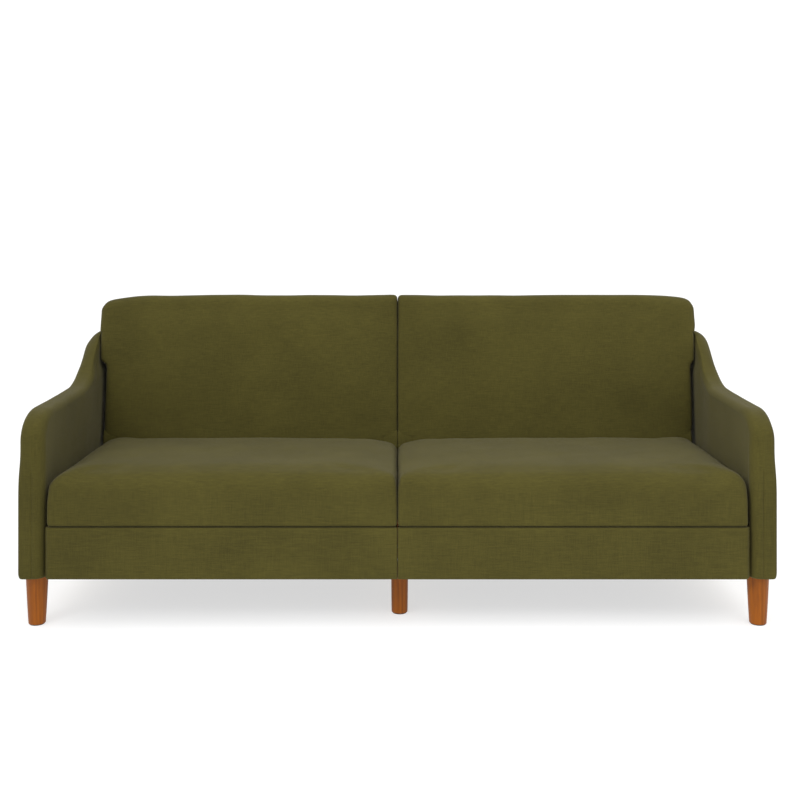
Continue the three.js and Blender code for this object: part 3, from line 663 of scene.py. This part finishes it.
def arm_cover():
    """The right-hand arm: a padded board with a rolled front, a level rest and an S curve to the back."""
    low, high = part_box("right_arm_cover")
    skin, spacing = 0.0005, 0.0105
    bottom, tall, long = low[2] + skin, high[2] - low[2], high[1] - low[1]
    turns = [math.radians(a) for a in (0, 18, 36, 54, 72, 90)]
    curl = [ARM_ROLL * (1 - math.cos(a)) for a in turns]
    inner, outer = low[0] + skin, high[0] - skin
    middle = [ARM_SEAM + step for step in (-0.0050, -0.0016, 0.0, 0.0016, 0.0050)]
    xs = np.array([inner + c for c in curl] + middle + [outer - c for c in reversed(curl)])
    insets = [ARM_ROLL * (1 - math.sin(a)) for a in turns]
    insets += [0.0] * len(middle) + insets[::-1]
    co, faces = block_grid(xs, grid_lines(low[1], high[1], spacing), grid_lines(0.0, tall, spacing))
    x, y, z = co.T.copy()
    inset = np.interp(x, xs, insets)
    up, front = smooth(z, 0.30 * tall, 0.60 * tall), 1 - smooth(y - low[1], 0.20, 0.40)
    radii = np.stack([
        np.zeros(len(co)),
        0.003 + up * (0.107 * front + 0.032 * (1 - front)),
        0.003 + up * (0.092 * front + 0.038 * (1 - front)),
    ], axis=1)
    flat = round_edges(co, radii)
    # The outer roll is tighter low down, and the outer face leans in a little higher up.
    low_outer = (1 - smooth(z, 0.50 * tall, 0.75 * tall)) * (x > ARM_SEAM)
    x += 0.5 * low_outer * (outer - x) * smooth(x, 1.006, 1.0185)
    x -= 0.0032 * smooth(z, 0.60 * tall, 0.80 * tall) * smooth(x, ARM_SEAM, outer)
    inset *= 1 - 0.5 * low_outer
    # Every section across the arm follows its outline, drawn in by the roll.
    depth = long / 2 + (flat[:, 1] - low[1] - long / 2) * (long - 2 * inset) / long
    near, under = 0.004, 0.10 * inset
    slope = (arm_top(depth + near) - arm_top(depth - near)) / (2 * near)
    height = arm_top(depth) - inset * np.sqrt(1 + slope**2) - under - bottom
    z = bottom + under + flat[:, 2] / tall * height
    obj = new_object("right_arm_padding", np.stack([x, low[1] + depth, z], axis=1), faces, FABRIC)
    rim = smooth(z, bottom + 0.01, bottom + 0.05)
    swell = smooth(depth, 0.03, 0.20) * (1 - smooth(depth, 0.68, 0.83))
    below = 1 - smooth(z - arm_top(depth), -0.12, -0.03)
    cap = rim * (0.0006 + 0.0028 * (x > outer - 0.004) * swell * below)
    cap[z < bottom + 0.004] = 0
    puff(obj, cap, pressure=3.0, frames=14)
    co = positions(obj)
    # The seam down the front is a shallow groove, and the front falls back on its inner side.
    groove_depth, groove_width = 0.0040, 0.0018
    on_front = 1 - smooth(co[:, 1] - low[1], 0.003, 0.010)
    along = on_front * (1 - smooth(co[:, 2], 0.425, 0.445))
    co[:, 1] += groove_depth * np.exp(-(((co[:, 0] - ARM_SEAM) / groove_width) ** 2)) * along
    fall = np.clip((ARM_SEAM - co[:, 0]) / 0.033, 0, 1) ** 1.2
    co[:, 1] += 0.0105 * fall * (1 - smooth(co[:, 1] - low[1], 0.01, 0.06))
    # The crest behind is rounded off on its outer side.
    depth, top = co[:, 1] - low[1], arm_top(co[:, 1] - low[1])
    radius, near_top = 0.052, np.clip((co[:, 2] - top + 0.20) / 0.20, 0, 1) ** 1.5
    shoulder = np.clip(co[:, 0] - 0.986, 0, 0.0515)
    drop = radius - np.sqrt(radius**2 - shoulder**2) - inset * (co[:, 0] > ARM_SEAM)
    crest = smooth(depth, 0.54, 0.64) * (1 - smooth(depth, 0.74, 0.84))
    co[:, 2] -= np.maximum(drop, 0) * near_top * crest
    # The inner face makes room for the back that turns beside it.
    reach = np.hypot(depth - ARM_AXIS, co[:, 2] - PIVOT_Z)
    inside = 1 - smooth(co[:, 0], inner, 0.995)
    thin = smooth(reach, 0.245, 0.290) * smooth(depth, 0.52, 0.60) * inside
    flare = smooth(depth, 0.40, 0.56) * smooth(co[:, 2], 0.30, 0.36) * inside
    co[:, 0] += 0.0055 * flare + 0.0115 * thin
    set_positions(obj, co)
    return obj


def finish_arm(obj, seed):
    """Gives one arm its own unevenness, with a flat lower end."""
    co = positions(obj)
    n = normals(obj)
    amount = 0.0007 * ripple(co, seed, 0.26) + 0.0003 * ripple(co, seed + 1, 0.10)
    amount *= smooth(co[:, 2], 0.145, 0.20) * smooth(co[:, 1], -0.42, -0.40)
    side = math.copysign(1, co[:, 0].mean())
    outer_edge = smooth(np.abs(co[:, 0]), 1.020, 1.036)
    co[:, 0] -= side * 0.0040 * (1 - smooth(co[:, 2], ARM_BOTTOM, 0.150)) * outer_edge
    if side > 0:  # the right arm is thinner towards the back
        within = (1 - smooth(co[:, 0], 0.985, 1.0)) * smooth(co[:, 2], 0.30, 0.36)
        thinned = np.minimum(co[:, 0] + 0.0050 * within * smooth(co[:, 1], -0.03, 0.12), ARM_BOARD)
        co[:, 0] = np.maximum(co[:, 0], thinned)
    left_crest = smooth(co[:, 2], 0.710, 0.740) * smooth(-co[:, 0], 0.985, 1.012)
    co[:, 0] += 0.0060 * left_crest  # and the crest of the left one is rounder
    set_positions(obj, co + n * amount[:, None])
    subdivide(obj)


# ---------- rails ----------


def wrapped_rail(node, name, facing, crown, tuck=0.0):
    """A board wrapped in fabric over thin wadding, fuller by the crown in the middle of its face.

    facing is -1 for a face to the front and 1 for a face to the rear. With a tuck, the fabric goes
    on that far past the end of the board, behind its face.
    """
    low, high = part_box(node)
    extra = (high[0], high[0] + 0.002) if tuck else (high[0] - 0.003,)
    start = -0.0008
    xs = grid_lines(start, high[0] + tuck, 0.016, (0.0015, 0.0035, 0.0080) + extra)
    ys = grid_lines(low[1], high[1], 0.007)
    zs = grid_lines(low[2], high[2] - 0.0015, 0.012, (low[2] + 0.003, high[2] - 0.006))
    co, faces = block_grid(xs, ys, zs)
    seam = 1 - smooth(co[:, 0], 0.008, 0.03)
    edge, end = 0.006, np.full(len(co), 0.004)
    co = round_edges(co, np.stack([end, edge + edge * seam, np.full(len(co), edge)], axis=1))
    x, y, z = co.T.copy()
    inside = smooth(x, xs[0], xs[0] + 0.05) * smooth(-x, -xs[-1], -xs[-1] + 0.05)
    inside *= smooth(z, zs[0], zs[0] + 0.03) * smooth(-z, -zs[-1], -zs[-1] + 0.03)
    outside = y < ys[1] if facing < 0 else y > ys[-2]
    y += facing * (crown * inside + 0.0004 * ripple(co, 5, 0.2) * inside) * outside
    if tuck:
        set_back = 0.016
        y = np.maximum(y, ys[0] + set_back * smooth(x, high[0], high[0] + 0.002))
    return new_object(name, np.stack([x, y, z], axis=1), faces, FABRIC)


# ---------- legs and small pieces ----------


def lathe(name, profile, x, y, material, sides=64):
    """A turned piece about a vertical axis. profile lists (radius, height) from the bottom up."""
    verts, faces = [], []
    for radius, height in profile:
        for i in range(sides):
            a = 2 * math.pi * i / sides
            verts.append((x + radius * math.cos(a), y + radius * math.sin(a), height))
    for ring in range(len(profile) - 1):
        for i in range(sides):
            j = (i + 1) % sides
            a, b = ring * sides, (ring + 1) * sides
            faces.append((a + i, a + j, b + j, b + i))
    faces.append(tuple(reversed(range(sides))))
    faces.append(tuple(range(len(verts) - sides, len(verts))))
    return new_object(name, verts, faces, material)


def arc(radius, cx, cz, start, end, steps=5):
    """Points round part of a circle, from one angle in degrees to another."""
    angles = [math.radians(start + (end - start) * i / steps) for i in range(steps + 1)]
    return [(cx + radius * math.cos(a), cz + radius * math.sin(a)) for a in angles]


def turned_leg(node):
    """A round leg with eased ends, a faint swell and the stud that screws it in."""
    low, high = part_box(node)
    x, y = (low[0] + high[0]) / 2, (low[1] + high[1]) / 2
    bottom, wide = low[2], (high[0] - low[0]) / 2
    foot = 0.0230 if "centre" in node else 0.0233
    stud, lower_edge, upper_edge = 0.004, 0.0015, 0.0012
    profile = [(stud, bottom), (foot - 0.002, bottom)]
    profile += arc(lower_edge, foot - lower_edge, bottom + lower_edge, -80, 0)
    for t in (0.12, 0.3, 0.5, 0.7, 0.88):
        swell = 0.0004 * math.sin(math.pi * t)
        profile.append((foot + (wide - foot) * t + swell, bottom + (LEG_TOP - bottom) * t))
    profile += arc(upper_edge, wide - upper_edge, LEG_TOP - upper_edge, 0, 80)
    profile += [(stud, LEG_TOP), (0.0039, high[2])]
    return lathe(node + "_turned", profile, x, y, LEG_WOOD)


def glide(node):
    """The plastic disc under a leg."""
    low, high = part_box(node)
    x, y, r = (low[0] + high[0]) / 2, (low[1] + high[1]) / 2, (high[0] - low[0]) / 2
    centre, edge, bevel = 0.002, 0.0012, 0.0004
    profile = [(centre, 0.0), (r - 0.003, 0.0)] + arc(edge, r - edge, edge, -80, 0)
    profile += [(r, high[2] - bevel), (r - bevel, high[2]), (centre, high[2])]
    return lathe(node + "_moulded", profile, x, y, GLIDE, 48)


def join_boxes(name, boxes, material):
    """Many small boxes as one piece. Each is (centre, half sizes)."""
    verts, faces = [], []
    corners = [(i, j, k) for i in (-1, 1) for j in (-1, 1) for k in (-1, 1)]
    for centre, half in boxes:
        base = len(verts)
        verts += [tuple(centre[a] + c[a] * half[a] for a in range(3)) for c in corners]
        quads = ((0, 1, 3, 2), (4, 6, 7, 5), (0, 4, 5, 1), (2, 3, 7, 6), (0, 2, 6, 4), (1, 5, 7, 3))
        faces += [tuple(base + v for v in quad) for quad in quads]
    obj = new_object(name, verts, faces, material)
    obj.data.polygons.foreach_set("use_smooth", [False] * len(obj.data.polygons))
    return obj


def dust_cover_size():
    """The corners of the right-hand dust cover, which reaches the rails, and the middle legs' y."""
    low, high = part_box("right_dust_cover")
    low.x, low.y, high.y = 0.017, low.y - 0.0008, high.y + 0.0008
    rows = [sum(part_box(f"centre_{end}_leg")[i].y for i in (0, 1)) / 2 for end in ("front", "rear")]
    return low, high, rows


def dust_cover(label, side):
    """Thin lining stretched under the base, sagging a little between its staples."""
    low, high, leg_rows = dust_cover_size()
    nx, ny = 46, 72
    drop, sagging, puckering = 0.0006, 0.006, 0.0006
    verts, faces = [], []
    for j in range(ny + 1):
        for i in range(nx + 1):
            u, v = i / nx, j / ny
            x, y = low[0] + (high[0] - low[0]) * u, low[1] + (high[1] - low[1]) * v
            away = min(abs(y - row) for row in leg_rows)
            if away < LEG_HOLE:  # cut away round the legs under the middle of the sofa
                x = max(x, side * MIDDLE_LEG_X + math.sqrt(LEG_HOLE**2 - away**2) + 0.0004 * i)
            sag = sagging * math.sin(math.pi * u) * math.sin(math.pi * v)
            pucker = puckering * math.cos(i * 0.9) * math.cos(j * 0.5)
            verts.append((side * x, y, high[2] - drop - sag - abs(pucker)))
    for j in range(ny):
        for i in range(nx):
            a = j * (nx + 1) + i
            quad = (a, a + 1, a + nx + 2, a + nx + 1)
            faces.append(quad if side < 0 else tuple(reversed(quad)))
    obj = new_object(f"{label}_lining", verts, faces, LINING)
    thick = obj.modifiers.new("Thickness", "SOLIDIFY")
    thick.thickness, thick.offset = 0.0004, 0
    declare(obj, "base", [f"{label}_dust_cover"])


def dust_cover_staples(label, side):
    """The staples round a dust cover, left out beside the middle legs."""
    low, high, leg_rows = dust_cover_size()
    long, thin, flat = 0.0055, 0.0005, 0.0004  # half sizes of a staple
    z, margin, clear = low[2] + 0.0006, 0.008, 0.035
    across, along = 15, 13
    staples = []
    for i in range(across):
        x = side * (low[0] + 0.03 + (high[0] - low[0] - 0.05) * i / (across - 1))
        staples += [((x, y, z), (long, thin, flat)) for y in (low[1] + margin, high[1] - margin)]
    for j in range(1, along):
        y = low[1] + 0.02 + (high[1] - low[1] - 0.04) * j / along
        xs = [high[0] - margin]
        if all(abs(y - row) > clear for row in leg_rows):
            xs.append(low[0] + 0.004)
        staples += [((side * x, y, z), (thin, long, flat)) for x in xs]
    pins = join_boxes(f"{label}_lining_staples", staples, ZINC)
    declare(pins, "base", [])


# ---------- assembly ----------


def pair(right, name):
    """The right-hand piece and a mirrored copy of it, each with its side in its name."""
    left = mirrored(right, f"left_{name}")
    right.name = f"right_{name}"
    return ("left", left), ("right", right)


def body_on(label, part):
    """The body of a part that either belongs to the base or moves with its own side."""
    return part if part == "base" else f"{label}_{part}"


def both_sides(right, finish_piece, name, part, node, seeds):
    """Mirrors a right-hand piece, gives each copy its own small unevenness, and declares both."""
    for (label, obj), seed in zip(pair(right, name), seeds):
        finish_piece(obj, seed)
        declare(obj, body_on(label, part), [f"{label}_{node}"])


both_sides(seat_cushion(), finish_seat, "seat_upholstery", "base", "seat_cushion", (11, 23))
both_sides(back_cushion(), finish_back, "back_upholstery", "back", "back_cushion", (31, 47))
both_sides(arm_cover(), finish_arm, "arm_upholstery", "base", "arm_cover", (53, 61))

plain = [
    (back_panel("back_lining_panel"), "back", ["back_panel"]),
    (back_flap("back_outer_flap", BACK_SIDE - 0.0115, BACK_SIDE - 0.0005), "back", []),
    (back_flap("back_inner_flap", MIDDLE, 0.017), "back", []),
    (back_skirt("back_outer_skirt", 0.905, BACK_SIDE - 0.0005), "back", []),
    (back_skirt("back_inner_skirt", MIDDLE, 0.060), "back", []),
    (wrapped_rail("right_front_rail", "front_rail_wrap", -1, 0.0010, tuck=0.0063), "base", ["front_rail"]),
    (wrapped_rail("right_rear_rail", "rear_rail_wrap", 1, 0.0008), "base", ["rear_rail"]),
]
for right, part, nodes in plain:
    for label, obj in pair(right, right.name):
        set_positions(obj, meet_other_half(positions(obj)))
        subdivide(obj)
        declare(obj, body_on(label, part), [f"{label}_{node}" for node in nodes])
for label, side in (("left", -1), ("right", 1)):
    dust_cover(label, side)
    dust_cover_staples(label, side)

for node in [f"{a}_{b}_leg" for a in ("left", "right", "centre") for b in ("front", "rear")]:
    declare(turned_leg(node), "base", [node])
    declare(glide(node + "_glide"), "base", [node + "_glide"])

TIMBER_EDGE, METAL_EDGE = 0.0012, 0.0005  # how far the edges of the bare CAD pieces are eased
PIECES = {
    PINE_Y: ("side_rail", "centre_rail"),
    PINE_X: ("middle_rail", "seat_deck", "back_frame", "arm_frame"),
    BLACK_STEEL: ("seat_bracket", "back_bracket"),
    ZINC: ("pawl", "bolt"),
}
for name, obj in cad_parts.items():
    for material, words in PIECES.items():
        if any(word in name for word in words):
            obj.data.materials.clear()
            obj.data.materials.append(material)
            bevel = obj.modifiers.new("Eased edges", "BEVEL")
            bevel.width = TIMBER_EDGE if material in (PINE_X, PINE_Y) else METAL_EDGE
            bevel.segments = 2
            bevel.limit_method = "ANGLE"
            bevel.harden_normals = False


# ---------- stage, light and camera ----------

WHITE = (1, 1, 1, 1)
white = Nodes("Studio white")
paper = white.noise(white.mapped((3, 3, 3)), detail=2)
white.finish(
    white.ramp(paper, [(0.3, (0.44, 0.44, 0.44)), (0.7, (0.46, 0.46, 0.46))]), 0.9,
    Specular_IOR_Level=0.1, Emission_Color=WHITE, Emission_Strength=0.62,
)

FLOOR_FRONT, WALL, WALL_TOP, HALF_WIDTH = -9.0, 5.2, 9.0, 14.0
BEND = 2.0  # radius of the curve from the floor up to the wall
sweep_line = [(FLOOR_FRONT, 0.0)]
for angle in np.linspace(0, math.pi / 2, 12):
    sweep_line.append((WALL - BEND + BEND * math.sin(angle), BEND - BEND * math.cos(angle)))
sweep_line.append((WALL, WALL_TOP))
floor_verts = [(x, y, z) for y, z in sweep_line for x in (-HALF_WIDTH, HALF_WIDTH)]
floor_faces = [(2 * i, 2 * i + 1, 2 * i + 3, 2 * i + 2) for i in range(len(sweep_line) - 1)]
floor = new_object("studio_sweep", floor_verts, floor_faces, white.material)

world = bpy.data.worlds.new("Studio")
bpy.context.scene.world = world
world.use_nodes = True
background = world.node_tree.nodes["Background"]
background.inputs["Color"].default_value = WHITE
background.inputs["Strength"].default_value = 0.98


def softbox(name, place, aim, size, power, spread=180):
    """A rectangular light at a place, aimed at a point, with its spread in degrees."""
    light = bpy.data.lights.new(name, "AREA")
    light.shape, light.size, light.size_y, light.energy = "RECTANGLE", size[0], size[1], power
    light.spread = math.radians(spread)
    obj = bpy.data.objects.new(name, light)
    bpy.context.collection.objects.link(obj)
    obj.location = place
    direction = np.array(aim, float) - np.array(place, float)
    obj.rotation_euler = Vector(direction).to_track_quat("-Z", "Y").to_euler()


softbox("overhead", (0, -0.9, 3.6), (0, 0.1, 0.4), (4.5, 3.0), 42)
softbox("key", (-6.5, -8.0, 6.0), (0, 0, 0.5), (3.5, 3.5), 80)
softbox("side", (-1.8, -2.6, 2.2), (1.0, 0.0, 0.45), (1.0, 1.0), 8, spread=70)
softbox("fill", (2.2, -2.5, 3.4), (0.6, 0.1, 0.6), (2.0, 2.0), 30)

camera = bpy.data.cameras.new("camera")
camera.lens, camera.sensor_width = 50, 36
camera.shift_x, camera.shift_y = 0.003125, -0.2
view = bpy.data.objects.new("camera", camera)
bpy.context.collection.objects.link(view)
view.location = (0, -3.46, 1.066)
view.rotation_euler = (math.pi / 2, 0, 0)
bpy.context.scene.camera = view
bpy.context.scene.view_settings.view_transform = "Standard"
